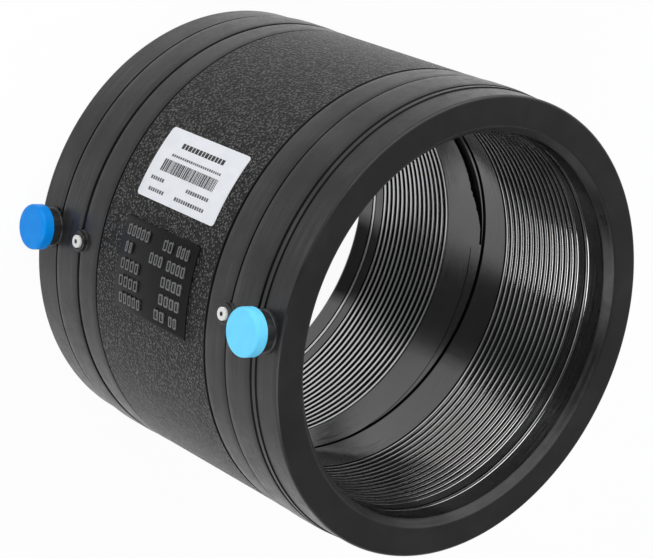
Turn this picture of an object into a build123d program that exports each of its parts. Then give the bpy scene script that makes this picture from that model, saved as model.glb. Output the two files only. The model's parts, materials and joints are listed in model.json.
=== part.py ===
from build123d import *
import math
import os

# Electrofusion coupler for a 160 mm polyethylene pipe, in millimetres.
# The bore runs along Z. The origin is the middle of the bore, half way along the sleeve.
# The two terminals stand out towards -Y. "Upper" is the +Z end, "lower" the -Z end.

# ---- Sleeve -------------------------------------------------------------------------------
sleeve_length = 165.0
bore_r = 80.6
wall = 16.3
mouth_chamfer_radial = 3.1
mouth_chamfer_axial = 3.6
end_edge_radius = 1.4
# How far each band of the outside lies below the ring bands, where the wall is thickest.
shoulder_band_drop = 0.3
grip_band_drop = 0.4
end_band_drop = 0.9

# Half-widths, from the middle of the sleeve, of the lines that divide its outside.
grip_half_width = 36.7
shoulder_line_at = 50.9
ring_line_at = 67.1
lip_line_at = 69.7
line_width = 1.3
line_depth = 0.9
lip_step = 0.45

# ---- Heating coils ------------------------------------------------------------------------
# Each coil is coated wire wound side by side, so its inside is one ridge for each turn.
coil_start = 17.15
turn_pitch = 3.03
turn_count = 16
wire_thickness = 2.8
ridge_height = 0.85
crest_depth = 0.02
outer_turn_at = 69.2
outer_turn_width = 2.7
link_width = 4.0
link_thickness = 1.1
link_azimuth = -60.0

# ---- Bridge wire, from one coil to the other across the middle ----------------------------
bridge_wire_r = 1.1
bridge_groove_gap = 0.45
bridge_crest_depth = 0.1
bridge_end_gap = 0.1
bridge_pitch = 27.8
bridge_middle_azimuth = 31.5

# ---- Notch beside the bridge wire ---------------------------------------------------------
notch_low = -0.8
notch_high = 4.4
notch_depth = 1.2
notch_start_azimuth = 113.0
notch_sweep = 52.0

# ---- Terminals ----------------------------------------------------------------------------
terminal_from_end = 10.3
shroud_r = 7.7
shroud_bore_r = 6.3
shroud_stand = 5.0
pin_r = 2.35
pin_recess = 0.8
pin_tip_chamfer = 0.6
pin_neck_r = 3.0
pin_neck_length = 2.5
pin_foot_r = 4.0
pin_foot_thickness = 4.0
pin_foot_gap = 0.1

# ---- Terminal caps ------------------------------------------------------------------------
cap_r = 9.5
cap_thickness = 5.6
cap_edge_radius = 1.5
cap_rim_radius = 0.4
plug_gap = 0.2
plug_wall = 1.3
plug_floor_gap = 5.1

# ---- Fusion indicators --------------------------------------------------------------------
indicator_from_end = 32.5
indicator_r = 2.65
indicator_stand = 2.75
indicator_gap = 0.12
indicator_skin = 5.6
indicator_dimple_r = 0.8
indicator_dimple_depth = 0.7
indicator_edge = 0.3
collar_r = 4.3
collar_stand = 1.8
collar_edge_radius = 0.6

# ---- Data panel, a raised smooth plate with rows of plain dashes --------------------------
panel_low = -23.5
panel_high = 25.4
panel_width = 38.6
panel_height = 0.5
panel_corner = 1.5
dash_height = 0.45
dash_width = 3.5
dash_row_pitch = 7.0
dash_margin = 3.6
# Each row's dashes, as shares of the row from its low end: where one starts and how long it is.
dash_rows = (
    ((0.0, 0.36), (0.58, 0.16), (0.80, 0.20)),
    ((0.02, 0.12), (0.42, 0.22), (0.70, 0.30)),
    ((0.0, 0.30), (0.66, 0.34)),
    ((0.0, 0.32), (0.66, 0.34)),
    ((0.02, 0.36), (0.60, 0.18), (0.84, 0.14)),
)

# ---- Label --------------------------------------------------------------------------------
label_low = -23.5
label_length = 51.0
label_width = 31.0
label_azimuth = -115.9
label_thickness = 0.2
label_corner = 1.6

# ---- Worked out from the sizes above ------------------------------------------------------
half_length = sleeve_length / 2
terminal_at = half_length - terminal_from_end
indicator_at = half_length - indicator_from_end
ring_band_r = bore_r + wall
shoulder_band_r = ring_band_r - shoulder_band_drop
grip_band_r = ring_band_r - grip_band_drop
end_band_r = ring_band_r - end_band_drop
coil_end = coil_start + turn_pitch * turn_count
crest_r = bore_r + crest_depth
valley_r = crest_r + ridge_height
coil_back_r = crest_r + wire_thickness
outer_turn_low = outer_turn_at - outer_turn_width / 2
outer_turn_high = outer_turn_at + outer_turn_width / 2
bridge_path_r = bore_r + bridge_crest_depth + bridge_wire_r
bridge_groove_r = bridge_wire_r + bridge_groove_gap
bridge_half_height = coil_start - bridge_wire_r - bridge_end_gap
bridge_start_azimuth = bridge_middle_azimuth - 360 * bridge_half_height / bridge_pitch
terminal_azimuth = -90.0
panel_r = grip_band_r + panel_height
panel_sweep = math.degrees(panel_width / grip_band_r)
dash_sweep = math.degrees(dash_width / grip_band_r)
row_sweep = math.degrees(dash_row_pitch / grip_band_r)
pin_foot_bottom = coil_back_r + pin_foot_gap
pin_pocket_bottom = coil_back_r - pin_foot_gap
plug_r = shroud_bore_r - plug_gap
pin_foot_top = pin_foot_bottom + pin_foot_thickness
shroud_floor = pin_foot_top + pin_neck_length
shroud_top = ring_band_r + shroud_stand
pin_top = shroud_top - pin_recess
plug_length = shroud_top - shroud_floor - plug_floor_gap
indicator_foot = coil_back_r + indicator_skin
indicator_top = ring_band_r + indicator_stand
collar_top = ring_band_r + collar_stand
indicator_well_r = indicator_r + indicator_gap
link_sweep = math.degrees(link_width / coil_back_r)
link_height = outer_turn_low - coil_end
link_middle = (outer_turn_low + coil_end) / 2
ends = {"upper": 1, "lower": -1}


def sleeve_half_outline(side):
    """The outside of one half of the sleeve, from its middle to its mouth, as (r, z) points."""
    half_line = line_width / 2
    shoulder_start = grip_half_width + line_width
    return [
        (grip_band_r, 0),
        (grip_band_r, side * grip_half_width),
        (grip_band_r - line_depth, side * (grip_half_width + half_line)),
        (shoulder_band_r, side * shoulder_start),
        (shoulder_band_r, side * (shoulder_line_at - half_line)),
        (shoulder_band_r - line_depth, side * shoulder_line_at),
        (ring_band_r, side * (shoulder_line_at + half_line)),
        (ring_band_r, side * (ring_line_at - half_line)),
        (ring_band_r - line_depth, side * ring_line_at),
        (end_band_r + lip_step, side * (ring_line_at + half_line)),
        (end_band_r + lip_step, side * lip_line_at),
        (end_band_r, side * (lip_line_at + lip_step)),
        (end_band_r, side * half_length),
    ]


def coil_turns_outline(side):
    """The coil's section, as (r, z) points: a flat back, and a pointed ridge for each turn."""
    points = [(coil_back_r, side * coil_start), (valley_r, side * coil_start)]
    for turn in range(turn_count):
        turn_start = coil_start + turn * turn_pitch
        points.append((crest_r, side * (turn_start + turn_pitch / 2)))
        points.append((valley_r, side * (turn_start + turn_pitch)))
    points.append((coil_back_r, side * coil_end))
    return points


def outer_turn_outline(side):
    """The section of the lone outer turn, as (r, z) points: a flat back and a blunt crest."""
    quarter = outer_turn_width / 4
    return [
        (coil_back_r, side * outer_turn_low),
        (valley_r, side * outer_turn_low),
        (crest_r, side * (outer_turn_at - quarter)),
        (crest_r, side * (outer_turn_at + quarter)),
        (valley_r, side * outer_turn_high),
        (coil_back_r, side * outer_turn_high),
    ]


def outward_plane(radius, height):
    """A plane across the terminals' direction, at a radius and a height, facing outwards."""
    return Plane(origin=(0, -radius, height), x_dir=(1, 0, 0), z_dir=(0, -1, 0))


def section_plane(azimuth):
    """The half-plane of a section through the axis: its x is the radius and its y is Z."""
    turned = Axis.X.direction.rotate(Axis.Z, azimuth)
    normal = Axis.Y.direction.rotate(Axis.Z, azimuth)
    return Plane(origin=(0, 0, 0), x_dir=turned, z_dir=-normal)


# ---- Path of the bridge wire, and the round sections of the wire and of its groove ---------
bridge_start_plane = Plane(
    origin=(0, 0, -bridge_half_height),
    x_dir=Axis.X.direction.rotate(Axis.Z, bridge_start_azimuth),
    z_dir=(0, 0, 1),
)
with BuildLine(bridge_start_plane) as bridge_path:
    Helix(bridge_pitch, 2 * bridge_half_height, bridge_path_r)
bridge_section_plane = Plane(origin=bridge_path.line @ 0, z_dir=bridge_path.line % 0)
with BuildSketch(bridge_section_plane) as wire_section:
    Circle(bridge_wire_r)
with BuildSketch(bridge_section_plane) as groove_section:
    Circle(bridge_groove_r)

# ---- Data panel, a raised plate that is one piece with the sleeve --------------------------
with BuildPart() as data_panel:
    panel_foot_r = grip_band_r - 2 * panel_height
    with BuildSketch(section_plane(terminal_azimuth - panel_sweep / 2)):
        with Locations((panel_foot_r, panel_low)):
            panel_section = (panel_r - panel_foot_r, panel_high - panel_low)
            Rectangle(*panel_section, align=(Align.MIN, Align.MIN))
    revolve(axis=Axis.Z, revolution_arc=panel_sweep)
    corner_edges = data_panel.edges().filter_by(GeomType.LINE)
    fillet(corner_edges.filter_by(Axis.Z, reverse=True), panel_corner)

    row_length = panel_high - panel_low - 2 * dash_margin
    first_row = terminal_azimuth - (row_sweep * (len(dash_rows) - 1) + dash_sweep) / 2
    for row, dashes in enumerate(dash_rows):
        row_plane = section_plane(first_row + row * row_sweep)
        for start, share in dashes:
            dash_low = panel_low + dash_margin + start * row_length
            with BuildSketch(row_plane):
                with Locations((panel_r - dash_height, dash_low)):
                    Rectangle(2 * dash_height, share * row_length, align=(Align.MIN, Align.MIN))
            revolve(axis=Axis.Z, revolution_arc=dash_sweep)

# ---- Sleeve body --------------------------------------------------------------------------
with BuildPart() as sleeve_body:
    with BuildSketch(Plane.XZ):
        with BuildLine():
            outside = sleeve_half_outline(1)[:0:-1] + sleeve_half_outline(-1)
            mouth_r = bore_r + mouth_chamfer_radial
            bore_end = half_length - mouth_chamfer_axial
            Polyline(
                *outside,
                (mouth_r, -half_length),
                (bore_r, -bore_end),
                (bore_r, bore_end),
                (mouth_r, half_length),
                close=True,
            )
        make_face()
    revolve(axis=Axis.Z)
    outer_rims = sleeve_body.edges().filter_by(GeomType.CIRCLE)
    outer_rims = outer_rims.filter_by(lambda e: abs(e.radius - end_band_r) < lip_step / 2)
    outer_rims = outer_rims.filter_by(lambda e: abs(abs(e.center().Z) - half_length) < lip_step)
    fillet(outer_rims, end_edge_radius)

    add(data_panel.part)

    # Notch in the bore, beside the bridge wire.
    with BuildSketch(section_plane(notch_start_azimuth)):
        with Locations((bore_r - notch_depth, notch_low)):
            Rectangle(2 * notch_depth, notch_high - notch_low, align=(Align.MIN, Align.MIN))
    revolve(axis=Axis.Z, revolution_arc=notch_sweep, mode=Mode.SUBTRACT)

    # Groove for the bridge wire.
    sweep(groove_section.sketch, path=bridge_path.line, is_frenet=True, mode=Mode.SUBTRACT)

    for side in ends.values():
        # Shroud of the terminal, and collar of the fusion indicator with its rounded rim.
        with BuildSketch(outward_plane(shroud_floor, side * terminal_at)):
            Circle(shroud_r)
        extrude(amount=shroud_top - shroud_floor)
        with BuildSketch(outward_plane(indicator_foot, side * indicator_at)):
            Circle(collar_r)
        extrude(amount=collar_top - indicator_foot)
        fillet(sleeve_body.faces(Select.LAST).sort_by(Axis.Y)[0].edges(), collar_edge_radius)

        # Channels in the bore: one for the close turns and one for the outer turn.
        channel_depth = coil_back_r - bore_r
        with BuildSketch(Plane.XZ):
            with Locations((bore_r, side * (coil_start + coil_end) / 2)):
                Rectangle(2 * channel_depth, coil_end - coil_start)
            with Locations((bore_r, side * outer_turn_at)):
                Rectangle(2 * channel_depth, outer_turn_width)
        revolve(axis=Axis.Z, mode=Mode.SUBTRACT)

        # Room in the wall for the link between them.
        with BuildSketch(section_plane(link_azimuth - link_sweep / 2)):
            with Locations((coil_back_r - link_thickness, side * link_middle)):
                Rectangle(link_thickness, link_height, align=(Align.MIN, Align.CENTER))
        revolve(axis=Axis.Z, revolution_arc=link_sweep, mode=Mode.SUBTRACT)

        # Holes for the terminal pin with its foot and neck, the cap's plug, and the indicator.
        with BuildSketch(outward_plane(pin_pocket_bottom, side * terminal_at)):
            Circle(pin_foot_r)
        extrude(amount=pin_foot_top - pin_pocket_bottom, mode=Mode.SUBTRACT)
        with BuildSketch(outward_plane(pin_foot_top, side * terminal_at)):
            Circle(pin_neck_r)
        extrude(amount=pin_neck_length, mode=Mode.SUBTRACT)
        with BuildSketch(outward_plane(shroud_floor, side * terminal_at)):
            Circle(shroud_bore_r)
        extrude(amount=shroud_top - shroud_floor, mode=Mode.SUBTRACT)
        with BuildSketch(outward_plane(indicator_foot, side * indicator_at)):
            Circle(indicator_well_r)
        extrude(amount=collar_top - indicator_foot, mode=Mode.SUBTRACT)

# ---- Bridge wire ---------------------------------------------------------------------------
with BuildPart() as bridge_wire:
    sweep(wire_section.sketch, path=bridge_path.line, is_frenet=True)

os.makedirs("parts", exist_ok=True)
sleeve_body.part.label = "sleeve_body"
export_step(sleeve_body.part, "parts/sleeve_body.step")
bridge_wire.part.label = "bridge_wire"
export_step(bridge_wire.part, "parts/bridge_wire.step")

for end, side in ends.items():
    # ---- Heating coil: close turns, one outer turn, and the hidden link between them --------
    with BuildPart() as heating_coil:
        with BuildSketch(Plane.XZ):
            with BuildLine():
                Polyline(*coil_turns_outline(side), close=True)
            make_face()
            with BuildLine():
                Polyline(*outer_turn_outline(side), close=True)
            make_face()
        revolve(axis=Axis.Z)
        with BuildSketch(section_plane(link_azimuth - link_sweep / 2)):
            with Locations((coil_back_r - link_thickness, side * link_middle)):
                Rectangle(link_thickness, link_height, align=(Align.MIN, Align.CENTER))
        revolve(axis=Axis.Z, revolution_arc=link_sweep)
    heating_coil.part.label = f"heating_coil_{end}"
    export_step(heating_coil.part, f"parts/heating_coil_{end}.step")

    # ---- Terminal pin: a foot and a neck moulded into the wall, and a round contact ----------
    with BuildPart() as terminal_pin:
        with BuildSketch(outward_plane(pin_foot_bottom, side * terminal_at)):
            Circle(pin_foot_r)
        extrude(amount=pin_foot_thickness)
        with BuildSketch(outward_plane(pin_foot_top, side * terminal_at)):
            Circle(pin_neck_r)
        extrude(amount=pin_neck_length)
        with BuildSketch(outward_plane(shroud_floor, side * terminal_at)):
            Circle(pin_r)
        extrude(amount=pin_top - shroud_floor)
        chamfer(terminal_pin.faces().sort_by(Axis.Y)[0].edges(), pin_tip_chamfer)
    terminal_pin.part.label = f"terminal_pin_{end}"
    export_step(terminal_pin.part, f"parts/terminal_pin_{end}.step")

    # ---- Terminal cap: a disc on the shroud's rim, and a hollow plug round the pin -------------
    with BuildPart() as terminal_cap:
        with BuildSketch(outward_plane(shroud_top, side * terminal_at)):
            Circle(cap_r)
        extrude(amount=cap_thickness)
        fillet(terminal_cap.faces().sort_by(Axis.Y)[0].edges(), cap_edge_radius)
        fillet(terminal_cap.faces().sort_by(Axis.Y)[-1].edges(), cap_rim_radius)
        with BuildSketch(outward_plane(shroud_top, side * terminal_at)):
            Circle(plug_r)
            Circle(plug_r - plug_wall, mode=Mode.SUBTRACT)
        extrude(amount=-plug_length)
    terminal_cap.part.label = f"terminal_cap_{end}"
    export_step(terminal_cap.part, f"parts/terminal_cap_{end}.step")

    # ---- Fusion indicator: a loose pin with a dimple in its head -------------------------------
    with BuildPart() as fusion_indicator:
        with BuildSketch(outward_plane(indicator_foot, side * indicator_at)):
            Circle(indicator_r)
        extrude(amount=indicator_top - indicator_foot)
        fillet(fusion_indicator.faces().sort_by(Axis.Y)[0].edges(), indicator_edge)
        with BuildSketch(outward_plane(indicator_top, side * indicator_at)):
            Circle(indicator_dimple_r)
        extrude(amount=-indicator_dimple_depth, mode=Mode.SUBTRACT)
    fusion_indicator.part.label = f"fusion_indicator_{end}"
    export_step(fusion_indicator.part, f"parts/fusion_indicator_{end}.step")

# ---- Label, a thin sheet on the grip band ----------------------------------------------------
with BuildPart() as label:
    label_sweep = math.degrees(label_width / grip_band_r)
    with BuildSketch(section_plane(label_azimuth - label_sweep / 2)):
        with Locations((grip_band_r, label_low)):
            Rectangle(label_thickness, label_length, align=(Align.MIN, Align.MIN))
    revolve(axis=Axis.Z, revolution_arc=label_sweep)
    fillet(label.edges().filter_by(GeomType.LINE).filter_by(Axis.Z, reverse=True), label_corner)
label.part.label = "label"
export_step(label.part, "parts/label.step")
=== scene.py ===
import json
import math
import random
import bmesh
import bpy
from mathutils import Matrix, Vector, noise


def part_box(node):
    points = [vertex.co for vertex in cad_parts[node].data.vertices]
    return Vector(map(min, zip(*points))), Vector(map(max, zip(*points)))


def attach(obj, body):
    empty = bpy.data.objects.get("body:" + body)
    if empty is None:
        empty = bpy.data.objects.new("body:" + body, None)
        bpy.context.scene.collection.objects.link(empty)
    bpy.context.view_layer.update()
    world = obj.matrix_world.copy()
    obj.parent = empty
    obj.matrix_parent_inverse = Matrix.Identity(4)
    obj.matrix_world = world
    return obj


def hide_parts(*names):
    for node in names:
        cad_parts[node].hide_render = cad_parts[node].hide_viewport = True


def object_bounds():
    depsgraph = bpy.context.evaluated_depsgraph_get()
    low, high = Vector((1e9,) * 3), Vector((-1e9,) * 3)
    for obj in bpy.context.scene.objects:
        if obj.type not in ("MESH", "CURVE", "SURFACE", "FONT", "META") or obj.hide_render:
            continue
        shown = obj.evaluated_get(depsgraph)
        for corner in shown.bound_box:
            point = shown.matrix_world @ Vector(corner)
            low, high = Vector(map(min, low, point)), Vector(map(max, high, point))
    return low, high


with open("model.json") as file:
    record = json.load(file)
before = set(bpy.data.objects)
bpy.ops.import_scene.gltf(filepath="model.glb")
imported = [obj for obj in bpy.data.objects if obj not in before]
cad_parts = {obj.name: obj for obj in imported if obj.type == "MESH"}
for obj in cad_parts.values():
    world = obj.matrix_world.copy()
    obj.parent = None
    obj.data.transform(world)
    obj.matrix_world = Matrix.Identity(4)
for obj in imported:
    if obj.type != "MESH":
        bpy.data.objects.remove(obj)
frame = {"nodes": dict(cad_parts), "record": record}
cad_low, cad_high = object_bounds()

# ---- Moulded sleeve -----------------------------------------------------------------------
# One injection moulding in black polyethylene, made round the wound wire. It is turned here
# from its section, then bored, and its corners are rounded as the mould's cutters leave them.
mm = 0.001
sleeve_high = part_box("sleeve_body")[1]
pipe_bore = next(m for m in frame["record"]["mounts"] if m["name"] == "pipe_bore")
bore_r = pipe_bore["dims"]["r_mm"] * mm
half_length = sleeve_high.z
ring_band_r = sleeve_high.x
shoulder_band_r = ring_band_r - 0.3 * mm
grip_band_r = ring_band_r - 0.4 * mm
end_band_r = ring_band_r - 0.9 * mm
mouth_r = bore_r + 3.1 * mm
mouth_depth = 3.6 * mm
grip_half_width = 36.7 * mm
shoulder_line_at = 50.9 * mm
ring_line_at = 67.1 * mm
lip_line_at = 69.7 * mm
line_width = 1.3 * mm
line_depth = 0.9 * mm
lip_step = 0.45 * mm
rim_round = 1.4 * mm
line_round = 0.15 * mm
# How far a band has fallen, at some distances in from its edge.
band_edge = ((0.30 * mm, 0.0), (0.14 * mm, 0.7 * mm), (0.04 * mm, 1.8 * mm), (0.0, 3.2 * mm))
mouth_round = 0.6 * mm
corner_angle = 12
same_place = 1e-6
sleeve_steps = 288

coil_low, coil_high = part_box("heating_coil_upper")
turn_pitch = 3.03 * mm
turn_count = 16
wire_back_r = coil_high.x
coil_start = coil_low.z
coil_end = coil_start + turn_pitch * turn_count
outer_turn_width = 2.7 * mm
outer_turn_high = coil_high.z
outer_turn_low = outer_turn_high - outer_turn_width
upper_seam = -122
lower_seam = 185


def add_piece(name, bm, body="coupler", sharp=35):
    """Makes a smooth-shaded object from a bmesh, with its sharp corners kept sharp."""
    bmesh.ops.recalc_face_normals(bm, faces=bm.faces)
    mesh = bpy.data.meshes.new(name)
    bm.to_mesh(mesh)
    bm.free()
    piece = bpy.data.objects.new(name, mesh)
    bpy.context.scene.collection.objects.link(piece)
    mesh.set_sharp_from_angle(angle=math.radians(sharp))
    if body:
        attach(piece, body)
    return piece


def section_loop(bm, points, closed=True):
    """A chain of edges through (radius, height) points, in the half-plane of a section."""
    verts = [bm.verts.new((radius, 0, height)) for radius, height in points]
    pairs = zip(verts, verts[1:] + verts[:1] if closed else verts[1:])
    return verts, [bm.edges.new(pair) for pair in pairs]


def turn_on_lathe(bm, geom, steps, angle=360, rise=0):
    """Spins a section round the bore's axis, and returns the section at the far end."""
    full = angle == 360 and rise == 0
    spun = bmesh.ops.spin(bm, geom=geom, cent=(0, 0, 0), axis=(0, 0, 1), dvec=(0, 0, rise / steps),
                          angle=math.radians(angle), steps=steps, use_merge=full,
                          use_normal_flip=False, use_duplicate=False)
    return spun["geom_last"]


def swing(bm, azimuth):
    """Turns a whole bmesh round the bore's axis."""
    turn = Matrix.Rotation(math.radians(azimuth), 3, "Z")
    bmesh.ops.rotate(bm, verts=bm.verts, cent=(0, 0, 0), matrix=turn)


def crowned_band(radius, first, last):
    """A smooth band whose edges fall away softly towards its lines, as (radius, height) points."""
    return [(radius - fall, first + inward) for fall, inward in band_edge] + [
        (radius - fall, last - inward) for fall, inward in band_edge[::-1]]


def half_outside(side):
    """The outside from the middle to one mouth, as (radius, height) points."""
    half_line = line_width / 2
    points = [
        (grip_band_r, grip_half_width),
        (grip_band_r - line_depth, grip_half_width + half_line),
        *crowned_band(shoulder_band_r, grip_half_width + line_width, shoulder_line_at - half_line),
        (shoulder_band_r - line_depth, shoulder_line_at),
        *crowned_band(ring_band_r, shoulder_line_at + half_line, ring_line_at - half_line),
        (ring_band_r - line_depth, ring_line_at),
        (end_band_r + lip_step, ring_line_at + half_line),
        (end_band_r + lip_step, lip_line_at),
        (end_band_r, lip_line_at + lip_step),
        (end_band_r, half_length),
    ]
    return [(radius, side * height) for radius, height in points]


def half_inside(side):
    """The bore from one mouth to the middle, with its two wire channels."""
    return [
        (mouth_r, side * half_length),
        (bore_r, side * (half_length - mouth_depth)),
        (bore_r, side * outer_turn_high),
        (wire_back_r, side * outer_turn_high),
        (wire_back_r, side * outer_turn_low),
        (bore_r, side * outer_turn_low),
        (bore_r, side * coil_end),
        (wire_back_r, side * coil_end),
        (wire_back_r, side * coil_start),
        (bore_r, side * coil_start),
    ]


bm = bmesh.new()
section = half_outside(-1)[::-1] + half_outside(1) + half_inside(1) + half_inside(-1)[::-1]
verts, edges = section_loop(bm, section)
turn_on_lathe(bm, verts + edges, sleeve_steps)
bmesh.ops.recalc_face_normals(bm, faces=bm.faces)

# The channels' edges follow the wire's first and last turns, which climb one pitch a turn.
for vert in bm.verts:
    side = 1 if vert.co.z > 0 else -1
    height, radius = abs(vert.co.z), math.hypot(vert.co.x, vert.co.y)
    if radius > wire_back_r + 0.1 * mm:
        continue
    seam = math.radians(upper_seam if side > 0 else lower_seam)
    climbed = side * (math.atan2(vert.co.y, vert.co.x) - seam) / (2 * math.pi) % 1
    if abs(height - coil_start) < 0.01 * mm:
        vert.co.z += side * turn_pitch * climbed
    elif abs(height - coil_end) < 0.01 * mm:
        vert.co.z -= side * turn_pitch * (1 - climbed)

round_edges = {rim_round: [], line_round: [], mouth_round: []}
for edge in bm.edges:
    start, end = (v.co for v in edge.verts)
    radius, height = math.hypot(start.x, start.y), abs(start.z)
    if abs(start.z - end.z) > same_place or abs(radius - math.hypot(end.x, end.y)) > same_place:
        continue
    at_end = height > half_length - same_place
    if radius > end_band_r - same_place and at_end:
        round_edges[rim_round].append(edge)
    elif radius > end_band_r - 0.3 * mm and edge.calc_face_angle(0) > math.radians(corner_angle):
        round_edges[line_round].append(edge)
    elif radius < end_band_r - rim_round and height > half_length - 2 * mouth_depth:
        round_edges[mouth_round].append(edge)
for width, chosen in round_edges.items():
    bmesh.ops.bevel(bm, geom=[e for e in chosen if e.is_valid], offset=width, segments=3,
                    profile=0.5, affect="EDGES", offset_type="OFFSET", material=-1)
sleeve = add_piece("moulded_sleeve", bm)

# ---- Terminal shrouds and indicator collars --------------------------------------------------
# Round bosses that are one moulding with the sleeve. They flare where they leave its wall, and
# each is bored for what stands in it: the terminal's contact, or the fusion indicator.
cap_low, cap_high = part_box("terminal_cap_upper")
terminal_at = (cap_low.z + cap_high.z) / 2
shroud_top = ring_band_r + 5.0 * mm
shroud_r = 7.7 * mm
shroud_flare, shroud_rim = 0.9 * mm, 0.3 * mm
shroud_bore_r = 6.3 * mm
shroud_floor = 90.02 * mm
shroud_steps = 64
indicator_low, indicator_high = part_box("fusion_indicator_upper")
indicator_at = (indicator_low.z + indicator_high.z) / 2
indicator_r = (indicator_high.x - indicator_low.x) / 2
collar_top = ring_band_r + 1.8 * mm
collar_r = 4.3 * mm
collar_flare, collar_rim = 0.7 * mm, 0.6 * mm
well_r = indicator_r + 0.12 * mm
well_floor = 89 * mm
collar_steps = 48
boss_foot = 92 * mm


def boss(bm, height, points, steps):
    """Turns (radius, distance from the bore's axis) points into a closed boss on the -Y side."""
    made = bmesh.new()
    verts, edges = section_loop(made, points, closed=False)
    turn_on_lathe(made, verts + edges, steps)
    bmesh.ops.remove_doubles(made, verts=made.verts, dist=1e-7)
    outward = Matrix.Rotation(math.pi / 2, 3, "X")
    bmesh.ops.rotate(made, verts=made.verts, cent=(0, 0, 0), matrix=outward)
    bmesh.ops.translate(made, verts=made.verts, vec=(0, 0, height))
    bmesh.ops.recalc_face_normals(made, faces=made.faces)
    mesh = bpy.data.meshes.new("boss")
    made.to_mesh(mesh)
    made.free()
    bm.from_mesh(mesh)
    bpy.data.meshes.remove(mesh)


def boss_points(radius, top, flare, rim):
    """A boss with a flared foot in the wall and a rounded rim."""
    arc = [math.radians(a) for a in (0, 22.5, 45, 67.5, 90)]
    skin = ring_band_r - 0.3 * mm
    flared = [(radius + flare * (1 - math.sin(a)), skin + flare * (1 - math.cos(a))) for a in arc]
    rounded = [(radius - rim * (1 - math.cos(a)), top - rim * (1 - math.sin(a))) for a in arc]
    return [(0, boss_foot), (radius + flare, boss_foot), *flared, *rounded, (0, top)]


def bore_points(radius, floor, top, chamfer):
    """What is bored out of a boss, with a chamfer at its mouth, and reaching past its top."""
    above = top + 1 * mm
    return [(0, floor), (radius, floor), (radius, top - chamfer),
            (radius + chamfer, top + 0.05 * mm), (radius + chamfer, above), (0, above)]


raised, bored = bmesh.new(), bmesh.new()
for side in (1, -1):
    boss(raised, side * terminal_at,
         boss_points(shroud_r, shroud_top, shroud_flare, shroud_rim), shroud_steps)
    boss(raised, side * indicator_at,
         boss_points(collar_r, collar_top, collar_flare, collar_rim), collar_steps)
    boss(bored, side * terminal_at,
         bore_points(shroud_bore_r, shroud_floor, shroud_top, 0.4 * mm), shroud_steps)
    boss(bored, side * indicator_at,
         bore_points(well_r, well_floor, collar_top, 0.3 * mm), collar_steps)

# ---- Notch, wire groove and mould line in the middle of the bore ------------------------------
# The core that the wire is wound on leaves a deep notch with a ragged lip beside the bridge
# wire, the groove that the wire lies in, and the fine line where the core's halves meet.
notch_first, notch_last = 99, 165
notch_depth = 1.3 * mm
notch_reach = 2 * mm
# Its lower side drops where the bridge wire has passed, and is ragged near there; its upper
# side climbs a little every 45 degrees.
notch_low, notch_drop = 2.9 * mm, 3.8 * mm
drop_first, drop_width = 105, 12
ragged_middle, ragged_half_width, ragged_height = 112, 18, 0.9 * mm
notch_high, notch_climb = 4.2 * mm, 1.5 * mm
bridge_pitch = 27.8 * mm
bridge_wire_r = 1.1 * mm
bridge_groove_gap = 0.45 * mm
bridge_path_r = bore_r + 0.1 * mm + bridge_wire_r
bridge_half_height = coil_start - bridge_wire_r - 0.1 * mm
groove_steps = 240
mould_line_first, mould_line_last = 12, 97
mould_line_at = -1.2 * mm
mould_line_slant = -1.1 * mm
mould_line_depth = 0.35 * mm
mould_line_half_width = 0.08 * mm
notched, grooved, parted = bmesh.new(), bmesh.new(), bmesh.new()
verts, edges = section_loop(notched, [(bore_r - notch_reach, 0), (bore_r + notch_depth, 0),
                                      (bore_r + notch_depth, 1 * mm), (bore_r - notch_reach, 1 * mm)])
turn_on_lathe(notched, verts + edges, 132, notch_last - notch_first)
bmesh.ops.holes_fill(notched, edges=[e for e in notched.edges if e.is_boundary])
swing(notched, notch_first)
for vert in notched.verts:
    azimuth = math.degrees(math.atan2(vert.co.y, vert.co.x))
    near_ragged = max(0, 1 - abs(azimuth - ragged_middle) / ragged_half_width)
    ragged = noise.noise(Vector((azimuth * 0.9, 0, 0))) * near_ragged
    dropped = min(1, max(0, (azimuth - drop_first) / drop_width))
    low = notch_low - notch_drop * dropped + ragged_height * ragged
    high = notch_high + notch_climb * (azimuth - notch_first) / 45
    vert.co.z = high if vert.co.z > 0.5 * mm else low

groove_r = bridge_wire_r + bridge_groove_gap
groove_section = [(bridge_path_r + groove_r * math.cos(a), groove_r * math.sin(a))
                  for a in [math.radians(22.5 * k) for k in range(16)]]
turned = 360 * 2 * bridge_half_height / bridge_pitch
verts, edges = section_loop(grooved, groove_section)
bmesh.ops.translate(grooved, verts=verts, vec=(0, 0, -bridge_half_height))
turn_on_lathe(grooved, verts + edges, groove_steps, turned, 2 * bridge_half_height)
swing(grooved, lower_seam)
verts, edges = section_loop(parted, [(bore_r - 1 * mm, -0.5 * mm),
                                     (bore_r + mould_line_depth, -mould_line_half_width),
                                     (bore_r + mould_line_depth, mould_line_half_width),
                                     (bore_r - 1 * mm, 0.5 * mm)])
bmesh.ops.translate(parted, verts=verts, vec=(0, 0, mould_line_at))
turn_on_lathe(parted, verts + edges, 100, mould_line_last - mould_line_first, mould_line_slant)
swing(parted, mould_line_first)
for tool_bm in (grooved, parted):
    bmesh.ops.holes_fill(tool_bm, edges=[e for e in tool_bm.edges if e.is_boundary])

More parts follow.
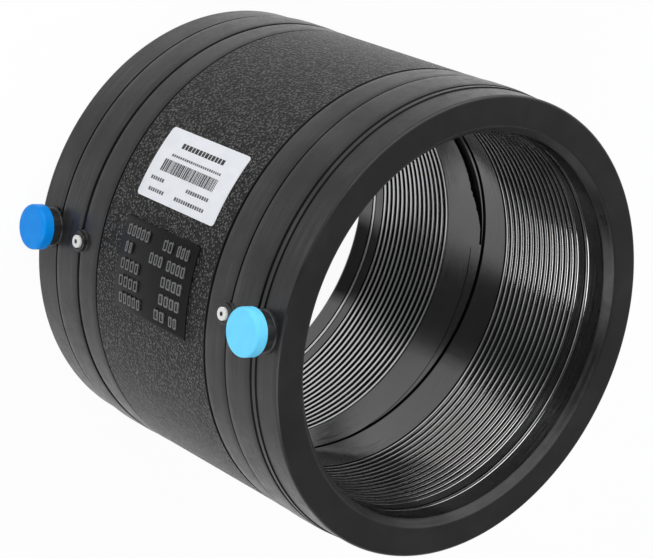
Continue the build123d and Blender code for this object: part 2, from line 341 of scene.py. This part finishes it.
# Each is joined to the sleeve, or cut from it, one after the other.
for name, tool_bm, operation in (("raised", raised, "UNION"), ("bored", bored, "DIFFERENCE"),
                                 ("notched", notched, "DIFFERENCE"),
                                 ("grooved", grooved, "DIFFERENCE"),
                                 ("parted", parted, "DIFFERENCE")):
    tool = add_piece(name, tool_bm, body=None)
    cutter = sleeve.modifiers.new(name, "BOOLEAN")
    cutter.operation = operation
    cutter.solver = "EXACT"
    cutter.object = tool
    evaluated = sleeve.evaluated_get(bpy.context.evaluated_depsgraph_get())
    joined = bpy.data.meshes.new_from_object(evaluated)
    sleeve.modifiers.clear()
    sleeve.data = joined
    bpy.data.objects.remove(tool)
sleeve.data.set_sharp_from_angle(angle=math.radians(35))
even = sleeve.modifiers.new("even shading", "WEIGHTED_NORMAL")
even.keep_sharp = True
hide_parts("sleeve_body")


# ---- Finishes of the black moulding --------------------------------------------------------
# Turned steel gives the outer bands a satin finish with faint rings, the polished core a gloss,
# and spark erosion the leathery grain. Handling leaves soft marks everywhere.
def new_group(name, inputs, outputs):
    """An empty shader node group, with its input and output nodes."""
    group = bpy.data.node_groups.new(name, "ShaderNodeTree")
    for socket, kind, value in inputs:
        made = group.interface.new_socket(socket, in_out="INPUT", socket_type=kind)
        if value is not None:
            made.default_value = value
    for socket, kind in outputs:
        group.interface.new_socket(socket, in_out="OUTPUT", socket_type=kind)
    return group, group.nodes.new("NodeGroupInput"), group.nodes.new("NodeGroupOutput")


def add_node(tree, kind, links=(), **values):
    """A node with some values set, and its inputs linked from other nodes' outputs."""
    node = tree.nodes.new(kind)
    for key, value in values.items():
        if key in node.inputs:
            node.inputs[key].default_value = value
        else:
            setattr(node, key, value)
    for index, source in links:
        tree.links.new(source, node.inputs[index])
    return node


def remap(tree, source, low, high, to_low=0, to_high=1):
    """A Map Range node that clamps."""
    node = add_node(tree, "ShaderNodeMapRange", links=[("Value", source)])
    for key, value in (("From Min", low), ("From Max", high), ("To Min", to_low), ("To Max", to_high)):
        node.inputs[key].default_value = value
    return node.outputs["Result"]


# Soft marks of handling: broad clouds, and finer smears inside them.
marks, inside, outside = new_group(
    "handling marks",
    [("Vector", "NodeSocketVector", None), ("Size", "NodeSocketFloat", 0.03)],
    [("Clouds", "NodeSocketFloat"), ("Smears", "NodeSocketFloat"), ("Dust", "NodeSocketFloat")])
scaled = add_node(marks, "ShaderNodeVectorMath", operation="DIVIDE")
marks.links.new(inside.outputs["Vector"], scaled.inputs[0])
marks.links.new(inside.outputs["Size"], scaled.inputs[1])
clouds = add_node(marks, "ShaderNodeTexNoise", links=[("Vector", scaled.outputs[0])],
                  Scale=1.0, Detail=4.0, Roughness=0.6)
smears = add_node(marks, "ShaderNodeTexNoise", links=[("Vector", scaled.outputs[0])],
                  Scale=5.0, Detail=5.0, Roughness=0.65, Distortion=1.2)
specks = add_node(marks, "ShaderNodeTexVoronoi", links=[("Vector", scaled.outputs[0])],
                  Scale=14.0, Randomness=1.0)
marks.links.new(remap(marks, clouds.outputs["Fac"], 0.35, 0.65), outside.inputs["Clouds"])
marks.links.new(remap(marks, smears.outputs["Fac"], 0.4, 0.7), outside.inputs["Smears"])
marks.links.new(remap(marks, specks.outputs["Distance"], 0.06, 0.02), outside.inputs["Dust"])

# Rings that a turning tool leaves: fine lines along the bore, uneven and broken round it.
rings, inside, outside = new_group(
    "turned rings",
    [("Vector", "NodeSocketVector", None), ("Pitch", "NodeSocketFloat", 0.001)],
    [("Rings", "NodeSocketFloat")])
stretched = add_node(rings, "ShaderNodeVectorMath", operation="MULTIPLY")
stretched.inputs[1].default_value = (0.02, 0.02, 1)
divided = add_node(rings, "ShaderNodeVectorMath", operation="DIVIDE", links=[(0, stretched.outputs[0])])
rings.links.new(inside.outputs["Vector"], stretched.inputs[0])
rings.links.new(inside.outputs["Pitch"], divided.inputs[1])
lines = add_node(rings, "ShaderNodeTexNoise", links=[("Vector", divided.outputs[0])],
                 Scale=1.0, Detail=3.0, Roughness=0.7)
rings.links.new(remap(rings, lines.outputs["Fac"], 0.3, 0.7), outside.inputs["Rings"])


def black_plastic(name, colour, pale, roughness, spread, pitch, ring_bump, specular=0.5):
    """A black moulded surface.

    Pale is its dusty colour, and spread is how much its roughness varies. Pitch and ring_bump
    are the spacing and the depth of the turned rings, and specular is how strongly it shines."""
    material = bpy.data.materials.new(name)
    material.use_nodes = True
    tree = material.node_tree
    shader = tree.nodes["Principled BSDF"]
    place = add_node(tree, "ShaderNodeTexCoord").outputs["Object"]
    worn = add_node(tree, "ShaderNodeGroup", node_tree=marks, links=[("Vector", place)], Size=0.03)
    turned_lines = add_node(tree, "ShaderNodeGroup", node_tree=rings, links=[("Vector", place)],
                            Pitch=pitch)
    dusty = add_node(tree, "ShaderNodeMath", operation="MULTIPLY",
                     links=[(0, worn.outputs["Clouds"]), (1, turned_lines.outputs["Rings"])])
    tint = add_node(tree, "ShaderNodeMix", data_type="RGBA", links=[(0, dusty.outputs[0])])
    tint.inputs[6].default_value = (*colour, 1)
    tint.inputs[7].default_value = (*pale, 1)
    tree.links.new(tint.outputs[2], shader.inputs["Base Color"])
    shader.inputs["Specular IOR Level"].default_value = specular
    gloss = add_node(tree, "ShaderNodeMath", operation="ADD",
                     links=[(0, worn.outputs["Smears"]), (1, turned_lines.outputs["Rings"])])
    tree.links.new(remap(tree, gloss.outputs[0], 0, 2, roughness - spread, roughness + spread),
                   shader.inputs["Roughness"])
    bump = add_node(tree, "ShaderNodeBump", links=[("Height", turned_lines.outputs["Rings"])],
                    Strength=0.5, Distance=ring_bump)
    tree.links.new(bump.outputs["Normal"], shader.inputs["Normal"])
    return material, shader, tree, bump, place


satin_black, *_ = black_plastic("satin black bands", (0.008, 0.008, 0.009), (0.040, 0.040, 0.041),
                                0.36, 0.12, 1.1 * mm, 0.03 * mm, 0.36)
# Painted shade: the lines between the bands, the cuts in the middle of the bore and the grooves between
# the coil's crests are painted this deep black, as the shade that falls in them.
painted_groove_shade, *_ = black_plastic("painted shade in lines and grooves",
                               (0.002, 0.002, 0.002), (0.006, 0.006, 0.006),
                               0.6, 0.05, 0.4 * mm, 0.004 * mm, 0.1)
face_black, *_ = black_plastic("faced black ends", (0.014, 0.014, 0.015), (0.024, 0.024, 0.025),
                               0.46, 0.05, 0.4 * mm, 0.006 * mm, 0.38)
bore_black, shader, *_ = black_plastic("cored black bore",
                                       (0.004, 0.004, 0.0045), (0.008, 0.008, 0.0085),
                                       0.14, 0.05, 0.8 * mm, 0.06 * mm)
shader.inputs["IOR"].default_value = 1.9
panel_black, *_ = black_plastic("smooth black panel",
                                (0.003, 0.003, 0.0035), (0.007, 0.007, 0.0075),
                                0.34, 0.06, 2 * mm, 0.004 * mm, 0.12)
rubbed_black, shader, *_ = black_plastic("rubbed tops of the raised dashes",
                                         (0.012, 0.012, 0.0125), (0.05, 0.05, 0.051),
                                         0.22, 0.08, 1 * mm, 0.01 * mm)
shader.inputs["IOR"].default_value = 2.0
grained_black, shader, tree, bump, place = black_plastic(
    "leather-grained black", (0.009, 0.009, 0.010), (0.014, 0.014, 0.015),
    0.34, 0.05, 2 * mm, 0.001 * mm, 0.2)
grain_cell = 1.1 * mm
grain_wander = 0.7 * mm
grain_depth = 0.9 * mm
fine_grain_share = 0.35
warp = add_node(tree, "ShaderNodeTexNoise", links=[("Vector", place)],
                Scale=1 / grain_cell, Detail=1.0)
nudged = add_node(tree, "ShaderNodeVectorMath", operation="MULTIPLY_ADD",
                  links=[(0, warp.outputs["Color"])])
nudged.inputs[1].default_value = (grain_wander, grain_wander, grain_wander)
tree.links.new(place, nudged.inputs[2])
cells = add_node(tree, "ShaderNodeTexVoronoi", feature="SMOOTH_F1",
                 links=[("Vector", nudged.outputs[0])],
                 Scale=1 / grain_cell, Smoothness=0.35, Randomness=1.0)
tops = remap(tree, cells.outputs["Distance"], 0.1, 0.6, 1, 0)
fine = add_node(tree, "ShaderNodeTexNoise", links=[("Vector", place)], Scale=2.2 / mm, Detail=2.0)
pebble = add_node(tree, "ShaderNodeMath", operation="MULTIPLY_ADD",
                  links=[(0, fine.outputs["Fac"]), (2, tops)])
pebble.inputs[1].default_value = fine_grain_share
tree.links.new(pebble.outputs[0], bump.inputs["Height"])
bump.inputs["Strength"].default_value = 1.0
bump.inputs["Distance"].default_value = grain_depth
# The pebbles' tops are painted pale, as rubbed dust and as a painted sheen, and the pits between
# them are painted deep black, as painted shade.
pebble_dust_and_painted_light = add_node(tree, "ShaderNodeMix", data_type="RGBA",
                  links=[(0, remap(tree, pebble.outputs[0], 0.4, 1.05))])
pebble_dust_and_painted_light.inputs[6].default_value = (0.001, 0.001, 0.001, 1)
pebble_dust_and_painted_light.inputs[7].default_value = (0.14, 0.14, 0.141, 1)
tree.links.new(pebble_dust_and_painted_light.outputs[2], shader.inputs["Base Color"])

# The bands are satin, and the sleeve's other faces get a material, or painted shade, by where they lie.
for material in (satin_black, grained_black, face_black, bore_black, painted_groove_shade):
    sleeve.data.materials.append(material)
grained_slot, face_slot, bore_slot, painted_shade_slot = 1, 2, 3, 4
lines_at = (grip_half_width + line_width / 2, shoulder_line_at, ring_line_at, lip_line_at)
line_reach = 0.45 * line_width
for face in sleeve.data.polygons:
    radius, height = math.hypot(face.center.x, face.center.y), abs(face.center.z)
    if radius < bore_r + 4 * mm and height < half_length - mouth_depth - 0.2 * mm:
        # Painted shade: the cuts in the middle of the bore are painted deep black.
        cut_in_middle = height < coil_start - bridge_wire_r and radius > bore_r + 0.3 * mm
        face.material_index = painted_shade_slot if cut_in_middle else bore_slot
    elif height > half_length - 0.2 * mm and radius < end_band_r - 0.3 * mm:
        face.material_index = face_slot
    elif height < grip_half_width - line_round:
        face.material_index = grained_slot
    # Painted shade: the lines between the bands are painted deep black.
    elif (min(abs(height - at) for at in lines_at) < line_reach
          and radius < ring_band_r + 0.1 * mm):
        face.material_index = painted_shade_slot

# ---- Data panel --------------------------------------------------------------------------
# A smooth plate raised on the grained band, one moulding with it. Where the mould's maker cuts
# the sizes and dates, it has rows of plain raised dashes.
panel_low, panel_high = -23.5 * mm, 25.4 * mm
panel_width = 38.6 * mm
panel_thickness = 2 * mm
panel_corner, panel_edge = 1.5 * mm, 0.25 * mm
panel_r = grip_band_r + 0.5 * mm
panel_margin = 3.6 * mm
row_pitch = 7.0 * mm
dash_stand = 0.7 * mm
dash_width, dash_thickness = 4.4 * mm, 1.2 * mm
dash_corner, dash_edge, dash_stroke = 0.6 * mm, 0.2 * mm, 0.5 * mm
dash_pitch, dash_gap = 3.3 * mm, 0.7 * mm
outline_sink, outline_slope = 0.5 * mm, 0.2 * mm
bend_step = 1.6 * mm
flush = 1e-9
# Each row's groups of dashes: where a group starts along the row and its length, as shares.
dash_rows = (
    ((0.0, 0.36), (0.58, 0.16), (0.80, 0.20)),
    ((0.02, 0.12), (0.42, 0.22), (0.70, 0.30)),
    ((0.0, 0.30), (0.66, 0.34)),
    ((0.0, 0.32), (0.66, 0.34)),
    ((0.02, 0.36), (0.60, 0.18), (0.84, 0.14)),
)


def plate(bm, width, thickness, length, centre, corner=0, edge=0, stroke=0):
    """Adds a flat plate: its width lies along X, its thickness along Y and its length along Z.

    With a stroke, the plate is a raised outline of that width round a sunk middle."""
    made = bmesh.new()
    bmesh.ops.create_cube(made, size=1)
    bmesh.ops.scale(made, vec=(width, thickness, length), verts=made.verts)
    if corner:
        upright = [e for e in made.edges if abs(e.verts[0].co.y - e.verts[1].co.y) > flush]
        bmesh.ops.bevel(made, geom=upright, offset=corner, segments=5, profile=0.5, affect="EDGES",
                        offset_type="OFFSET", material=-1)
    if edge:
        top = [e for e in made.edges if min(v.co.y for v in e.verts) > thickness / 2 - flush]
        bmesh.ops.bevel(made, geom=top, offset=edge, segments=2, profile=0.5, affect="EDGES",
                        offset_type="OFFSET", material=-1)
    if stroke:
        top = [f for f in made.faces
               if f.normal.y > 0.99 and f.calc_center_median().y > thickness / 2 - flush]
        bmesh.ops.inset_region(made, faces=top, thickness=stroke, depth=0, use_even_offset=True)
        bmesh.ops.inset_region(made, faces=top, thickness=outline_slope, depth=-outline_sink,
                               use_even_offset=True)
    cuts = int(width / bend_step)
    for k in range(1, cuts):
        geom = made.verts[:] + made.edges[:] + made.faces[:]
        bmesh.ops.bisect_plane(made, geom=geom, plane_co=(width * (k / cuts - 0.5), 0, 0),
                               plane_no=(1, 0, 0))
    bmesh.ops.translate(made, verts=made.verts, vec=centre)
    mesh = bpy.data.meshes.new("plate")
    made.to_mesh(mesh)
    made.free()
    bm.from_mesh(mesh)
    bpy.data.meshes.remove(mesh)


def wrap(bm, radius, azimuth):
    """Bends flat plates on to the sleeve: X becomes the way round it and Y the radius."""
    for vert in bm.verts:
        angle = math.radians(azimuth) + vert.co.x / radius
        reach = radius + vert.co.y
        vert.co = (reach * math.cos(angle), reach * math.sin(angle), vert.co.z)


bm = bmesh.new()
plate(bm, panel_width, panel_thickness, panel_high - panel_low,
      (0, -panel_thickness / 2, (panel_low + panel_high) / 2), panel_corner, panel_edge)
dash_bm = bmesh.new()
row_length = panel_high - panel_low - 2 * panel_margin
for row, groups in enumerate(dash_rows):
    for start, share in groups:
        group_length = share * row_length
        count = max(1, round(group_length / dash_pitch))
        for k in range(count):
            low = panel_low + panel_margin + start * row_length + k * group_length / count
            long = group_length / count - dash_gap
            centre = ((row - 2) * row_pitch, dash_stand - dash_thickness / 2, low + long / 2)
            plate(dash_bm, dash_width, dash_thickness, long, centre,
                  dash_corner, dash_edge, dash_stroke)
for name, made, material in (("data_panel", bm, panel_black),
                             ("panel_dashes", dash_bm, rubbed_black)):
    wrap(made, panel_r, -90)
    panel = add_piece(name, made)
    panel.data.materials.append(material)
    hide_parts("sleeve_body")

# ---- Heating coils ------------------------------------------------------------------------
# Each coil is one length of resistance wire in a glossy polyethylene coating. It is wound on
# the mould's core side by side, and after a short step its last turn stands alone.
coil_black, shader, *_ = black_plastic("glossy coating of the wire",
                                       (0.52, 0.52, 0.525), (0.62, 0.62, 0.625),
                                       0.14, 0.05, 1.5 * mm, 0.004 * mm)
# The coating's crests mirror what is round them, so they are shaded as a grey polished metal
# would be. The grooves between the crests are painted deep black, as painted shade.
shader.inputs["Metallic"].default_value = 1.0
crest_r = bore_r + 0.02 * mm
crest_rise = 1.25 * mm
crest_power = 2.5
crest_share = 0.82
crest_shares = (-1, -0.95, -0.85, -0.7, -0.5, -0.25, 0, 0.25, 0.5, 0.7, 0.85, 0.95, 1)
groove_from = 0.25 * mm
steps_per_turn = 120
# A close turn ends just short of where the next one begins, and the two are then welded.
close_turn_angle = 359.9999
step_angle = 40
step_steps = 14
outer_turn_angle = 359
outer_turn_steps = 106


def wire_section(half):
    """The section of the wire between its neighbours: a flat back, a broad crest and narrow grooves."""
    groove_floor = crest_r + crest_rise
    crest = [(crest_r + crest_rise * (1 - (1 - abs(t * 0.985) ** crest_power) ** (1 / crest_power)),
              t * half * crest_share) for t in crest_shares]
    return [(wire_back_r, -half), (groove_floor, -half), *crest,
            (groove_floor, half), (wire_back_r, half)]


for end, side, seam in (("upper", 1, upper_seam), ("lower", -1, -lower_seam)):
    bm = bmesh.new()
    verts, edges = section_loop(bm, wire_section(turn_pitch / 2))
    first = coil_start + turn_pitch / 2
    bmesh.ops.translate(bm, verts=verts, vec=(0, 0, first))
    turn_on_lathe(bm, verts + edges, steps_per_turn, close_turn_angle, turn_pitch)
    one_turn = bm.verts[:] + bm.edges[:] + bm.faces[:]
    for k in range(1, turn_count - 1):
        copied = bmesh.ops.duplicate(bm, geom=one_turn)["geom"]
        bmesh.ops.translate(bm, verts=[v for v in copied if isinstance(v, bmesh.types.BMVert)],
                            vec=(0, 0, k * turn_pitch))
    # The step to the outer turn, then the outer turn, start where the last close turn ends.
    verts, edges = section_loop(bm, wire_section(turn_pitch / 2))
    last = first + (turn_count - 1) * turn_pitch
    bmesh.ops.translate(bm, verts=verts, vec=(0, 0, last))
    outer_at = (outer_turn_low + outer_turn_high) / 2
    step_end = turn_on_lathe(bm, verts + edges, step_steps, step_angle, outer_at - last)
    turn_on_lathe(bm, step_end, outer_turn_steps, outer_turn_angle - step_angle, 0)
    bmesh.ops.remove_doubles(bm, verts=bm.verts, dist=0.002 * mm)
    bmesh.ops.holes_fill(bm, edges=[e for e in bm.edges if e.is_boundary])
    swing(bm, seam)
    if side < 0:
        end_for_end = Matrix.Rotation(math.pi, 3, "X")
        bmesh.ops.rotate(bm, verts=bm.verts, cent=(0, 0, 0), matrix=end_for_end)
    coil = add_piece("wound_wire_" + end, bm, sharp=50)
    coil.data.materials.append(coil_black)
    coil.data.materials.append(painted_groove_shade)
    # Painted shade: faces deeper than the crests take the deep black.
    for face in coil.data.polygons:
        if math.hypot(face.center.x, face.center.y) > crest_r + groove_from:
            face.material_index = 1
    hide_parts("heating_coil_" + end)
bridge = frame["nodes"]["bridge_wire"]
bridge.data.materials.clear()
bridge.data.materials.append(coil_black)


# ---- Terminal caps, contacts and indicators ---------------------------------------------------
# The caps are soft blue plugs, a lighter and a deeper one, that a thumb pulls off. The contacts
# are turned brass. The indicators are off-white pins with a dark dimple, level with the collar.
def coloured_plastic(name, colour, worn_colour, roughness):
    """A coloured moulded plastic with faint clouds and marks."""
    material = bpy.data.materials.new(name)
    material.use_nodes = True
    tree = material.node_tree
    shader = tree.nodes["Principled BSDF"]
    place = add_node(tree, "ShaderNodeTexCoord").outputs["Object"]
    worn = add_node(tree, "ShaderNodeGroup", node_tree=marks, links=[("Vector", place)], Size=0.006)
    tint = add_node(tree, "ShaderNodeMix", data_type="RGBA", links=[(0, worn.outputs["Clouds"])])
    tint.inputs[6].default_value = (*colour, 1)
    tint.inputs[7].default_value = (*worn_colour, 1)
    tree.links.new(tint.outputs[2], shader.inputs["Base Color"])
    tree.links.new(remap(tree, worn.outputs["Smears"], 0, 1, roughness - 0.05, roughness + 0.07),
                   shader.inputs["Roughness"])
    bump = add_node(tree, "ShaderNodeBump", links=[("Height", worn.outputs["Smears"])],
                    Strength=0.25, Distance=0.02 * mm)
    tree.links.new(bump.outputs["Normal"], shader.inputs["Normal"])
    return material, shader, tree, tint, place


sky_cap, shader, *_ = coloured_plastic("sky blue cap",
                                       (0.13, 0.60, 0.92), (0.15, 0.64, 0.95), 0.4)
shader.inputs["Specular IOR Level"].default_value = 0.2
azure_cap, shader, *_ = coloured_plastic("azure cap",
                                         (0.0, 0.22, 0.72), (0.002, 0.25, 0.76), 0.4)
shader.inputs["Specular IOR Level"].default_value = 0.15
brass, shader, *_ = coloured_plastic("turned brass",
                                     (0.72, 0.53, 0.24), (0.78, 0.60, 0.30), 0.28)
shader.inputs["Metallic"].default_value = 1.0
indicator_white, shader, tree, tint, place = coloured_plastic(
    "off-white indicator", (0.62, 0.62, 0.61), (0.72, 0.72, 0.70), 0.45)
# The dimple is painted darker, as the painted shade of a hollow, and it lies on the pin's own axis.
dimple_r, dimple_edge_r = 0.75 * mm, 1.15 * mm
across = add_node(tree, "ShaderNodeSeparateXYZ", links=[("Vector", place)])
level = add_node(tree, "ShaderNodeMath", operation="ABSOLUTE", links=[(0, across.outputs["Z"])])
off_axis = add_node(tree, "ShaderNodeMath", operation="SUBTRACT", links=[(0, level.outputs[0])])
off_axis.inputs[1].default_value = indicator_at
flat = add_node(tree, "ShaderNodeCombineXYZ",
                links=[("X", across.outputs["X"]), ("Z", off_axis.outputs[0])])
distance = add_node(tree, "ShaderNodeVectorMath", operation="LENGTH", links=[(0, flat.outputs[0])])
dimple = remap(tree, distance.outputs["Value"], dimple_r, dimple_edge_r, 1, 0)
dimple_painted_dark = add_node(tree, "ShaderNodeMix", data_type="RGBA", links=[(0, dimple), (6, tint.outputs[2])])
dimple_painted_dark.inputs[7].default_value = (0.05, 0.05, 0.055, 1)
tree.links.new(dimple_painted_dark.outputs[2], shader.inputs["Base Color"])
for node_name, material in (("terminal_cap_upper", sky_cap), ("terminal_cap_lower", azure_cap),
                            ("terminal_pin_upper", brass), ("terminal_pin_lower", brass),
                            ("fusion_indicator_upper", indicator_white),
                            ("fusion_indicator_lower", indicator_white)):
    node = frame["nodes"][node_name]
    node.data.materials.clear()
    node.data.materials.append(material)

# ---- Label --------------------------------------------------------------------------------
# A white film sticker on the grained band. Its print is plain: rows of dashes in place of words
# and a strip of bars, in thin black ink.
film, *_ = coloured_plastic("white label film", (0.66, 0.68, 0.72), (0.70, 0.72, 0.76), 0.45)
label_node = frame["nodes"]["label"]
label_node.data.materials.clear()
label_node.data.materials.append(film)
label_low, label_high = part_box("label")
label_azimuth = -115.9
label_r = grip_band_r + 0.2 * mm
label_width = 31 * mm
label_length = label_high.z - label_low.z
ink_height = 0.06 * mm
strip_across, strip_height = 0.522, 5.3 * mm
strip_first, strip_last = 0.135, 0.815
bold_from = 2 * mm
random.seed(7)
# Each row: its middle across the label as a share, its height, a dash's length, the gap between
# dashes, and its stretches along the label as shares.
print_rows = (
    (0.205, 2.3 * mm, 1.9 * mm, 0.45 * mm, ((0.23, 0.77),)),
    (0.365, 1.0 * mm, 1.0 * mm, 0.4 * mm, ((0.18, 0.79),)),
    (0.725, 1.5 * mm, 1.1 * mm, 0.4 * mm, ((0.08, 0.23), (0.54, 0.82))),
    (0.875, 1.5 * mm, 1.1 * mm, 0.4 * mm, ((0.11, 0.30), (0.45, 0.82))),
)
bars = bmesh.new()
dashes = bmesh.new()


def ink(bm, share_across, share_along, wide, long):
    """One printed mark, whose place is a share of the label's width and length."""
    centre = ((share_across - 0.5) * label_width, 0, label_low.z + share_along * label_length)
    plate(bm, wide, ink_height, long, centre)


for across, tall, letter, gap, stretches in print_rows:
    for first_share, last_share in stretches:
        at = first_share * label_length
        while at < last_share * label_length:
            long = letter * random.uniform(0.8, 1.15)
            row_bm = bars if tall > bold_from else dashes
            ink(row_bm, across, (at + long / 2) / label_length, tall, long)
            at += long + gap
at = strip_first * label_length
while at < strip_last * label_length:
    long = random.choice((0.35, 0.35, 0.6, 0.9)) * mm
    ink(bars, strip_across, (at + long / 2) / label_length, strip_height, long)
    at += long + random.choice((0.25, 0.35, 0.45)) * mm
black_ink, *_ = coloured_plastic("black ink", (0.010, 0.010, 0.012), (0.025, 0.025, 0.028), 0.55)
grey_ink, *_ = coloured_plastic("thin grey ink", (0.05, 0.052, 0.06), (0.12, 0.125, 0.135), 0.55)
for name, bm, material in (("label_bars", bars, black_ink), ("label_dashes", dashes, grey_ink)):
    wrap(bm, label_r, label_azimuth)
    printed = add_piece(name, bm)
    printed.data.materials.append(material)

# ---- Floor, light and camera ----------------------------------------------------------------
# A pale studio: a white floor and backdrop, one wide soft lamp over the sleeve's back and a
# smaller one by its side. What the gloss reflects has a dim ceiling and a dim front.
floor_size = 6
floor_brightness = 0.95
shade_azimuth = -97.4
shade_half_angle = 29
shade_blur = 5
shade_apex = (13 * mm, 41 * mm, 0)
shaded_share = 0.02
bore_blur = 4 * mm
bm = bmesh.new()
bmesh.ops.create_grid(bm, x_segments=1, y_segments=1, size=floor_size)
bmesh.ops.translate(bm, verts=bm.verts, vec=(0, 0, cad_low.z))
floor = add_piece("floor", bm, body=None)
pale_floor = bpy.data.materials.new("pale floor")
pale_floor.use_nodes = True
tree = pale_floor.node_tree
shader = tree.nodes["Principled BSDF"]
shader.inputs["Base Color"].default_value = (0.85, 0.85, 0.85, 1)
shader.inputs["Roughness"].default_value = 0.9
shader.inputs["Specular IOR Level"].default_value = 0.0
path = add_node(tree, "ShaderNodeLightPath")
# For what the gloss reflects, the floor inside the bore is painted white except in a wedge, where
# its own shade shows; the polished bore shows the wedge as its darker sector.
place = add_node(tree, "ShaderNodeTexCoord").outputs["Object"]
level_place = add_node(tree, "ShaderNodeVectorMath", operation="MULTIPLY", links=[(0, place)])
level_place.inputs[1].default_value = (1, 1, 0)
from_axis = add_node(tree, "ShaderNodeVectorMath", operation="LENGTH",
                     links=[(0, level_place.outputs[0])])
outside_bore = remap(tree, from_axis.outputs["Value"], bore_r - bore_blur, bore_r + bore_blur)
from_apex = add_node(tree, "ShaderNodeVectorMath", operation="SUBTRACT",
                     links=[(0, level_place.outputs[0])])
from_apex.inputs[1].default_value = shade_apex
heading = add_node(tree, "ShaderNodeVectorMath", operation="NORMALIZE",
                   links=[(0, from_apex.outputs[0])])
towards = add_node(tree, "ShaderNodeVectorMath", operation="DOT_PRODUCT",
                   links=[(0, heading.outputs[0])])
towards.inputs[1].default_value = (math.cos(math.radians(shade_azimuth)),
                                   math.sin(math.radians(shade_azimuth)), 0)
both_ways = add_node(tree, "ShaderNodeMath", operation="ABSOLUTE",
                     links=[(0, towards.outputs["Value"])])
unshaded = remap(tree, both_ways.outputs[0], math.cos(math.radians(shade_half_angle + shade_blur)),
                 math.cos(math.radians(shade_half_angle - shade_blur)), 1, shaded_share)
shown = add_node(tree, "ShaderNodeMath", operation="MAXIMUM",
                 links=[(0, outside_bore), (1, unshaded)])
glossy = add_node(tree, "ShaderNodeMath", operation="MULTIPLY",
                  links=[(0, path.outputs["Is Glossy Ray"]), (1, shown.outputs[0])])
seen = add_node(tree, "ShaderNodeMath", operation="MAXIMUM",
                links=[(0, path.outputs["Is Camera Ray"]), (1, glossy.outputs[0])])
seen_through = add_node(tree, "ShaderNodeMath", operation="MAXIMUM",
                        links=[(0, seen.outputs[0]), (1, path.outputs["Is Transmission Ray"])])
share = add_node(tree, "ShaderNodeMath", operation="MULTIPLY", links=[(0, seen_through.outputs[0])])
share.inputs[1].default_value = floor_brightness
white = add_node(tree, "ShaderNodeEmission", Strength=1.0)
white.inputs["Color"].default_value = (1, 1, 1, 1)
mixed = add_node(tree, "ShaderNodeMixShader",
                 links=[(0, share.outputs[0]), (1, shader.outputs[0]), (2, white.outputs[0])])
tree.links.new(mixed.outputs[0], tree.nodes["Material Output"].inputs["Surface"])
floor.data.materials.append(pale_floor)

room_brightness = 0.4
ceiling_share = 0.2
front_direction = (-0.33, -0.94, 0)
front_share = 0.12
world = bpy.data.worlds.new("studio")
bpy.context.scene.world = world
world.use_nodes = True
tree = world.node_tree
backdrop = tree.nodes["Background"]
backdrop.inputs["Color"].default_value = (1, 1, 1, 1)
path = add_node(tree, "ShaderNodeLightPath")
seen = add_node(tree, "ShaderNodeMath", operation="MAXIMUM",
                links=[(0, path.outputs["Is Camera Ray"]), (1, path.outputs["Is Transmission Ray"])])
# In the gloss the walls are white, the ceiling is dimmer, and so is the side that faces the terminals.
direction = add_node(tree, "ShaderNodeTexCoord").outputs["Generated"]
rise = add_node(tree, "ShaderNodeSeparateXYZ", links=[("Vector", direction)])
walls = remap(tree, rise.outputs["Z"], 0.12, 0.35, 1.0, ceiling_share)
facing = add_node(tree, "ShaderNodeVectorMath", operation="DOT_PRODUCT", links=[(0, direction)])
facing.inputs[1].default_value = front_direction
front = remap(tree, facing.outputs["Value"], -0.45, 0.05, 1.0, front_share)
gloss_room = add_node(tree, "ShaderNodeMath", operation="MULTIPLY", links=[(0, walls), (1, front)])
reflected = add_node(tree, "ShaderNodeMix", data_type="FLOAT",
                     links=[(0, path.outputs["Is Glossy Ray"]), (3, gloss_room.outputs[0])])
reflected.inputs[2].default_value = room_brightness
room = add_node(tree, "ShaderNodeMix", data_type="FLOAT",
                links=[(0, seen.outputs[0]), (2, reflected.outputs[0])])
room.inputs[3].default_value = 1.0
tree.links.new(room.outputs[0], backdrop.inputs["Strength"])

camera_data = bpy.data.cameras.new("camera")
camera_data.lens = 122.52
camera = bpy.data.objects.new("camera", camera_data)
camera.location = (-0.21028, -0.62015, 0.67714)
camera.rotation_euler = [math.radians(a) for a in (-21.674, -39.161, 103.089)]
bpy.context.scene.collection.objects.link(camera)
bpy.context.scene.camera = camera

lamp_distance = 1.3
for name, azimuth, rise, wide, tall, power in (("wide lamp", 182, 30, 1.9, 1.25, 19),
                                               ("side lamp", -51, 30, 0.82, 1.25, 9.5)):
    lamp_data = bpy.data.lights.new(name, "AREA")
    lamp_data.shape = "RECTANGLE"
    lamp_data.size, lamp_data.size_y = wide, tall
    lamp_data.energy = power
    lamp = bpy.data.objects.new(name, lamp_data)
    around, up = math.radians(azimuth), math.radians(rise)
    lamp.location = lamp_distance * Vector((math.cos(around) * math.cos(up),
                                            math.sin(around) * math.cos(up), math.sin(up)))
    lamp.rotation_euler = (-lamp.location).to_track_quat("-Z", "Y").to_euler()
    bpy.context.scene.collection.objects.link(lamp)

bpy.context.scene.view_settings.view_transform = "Standard"
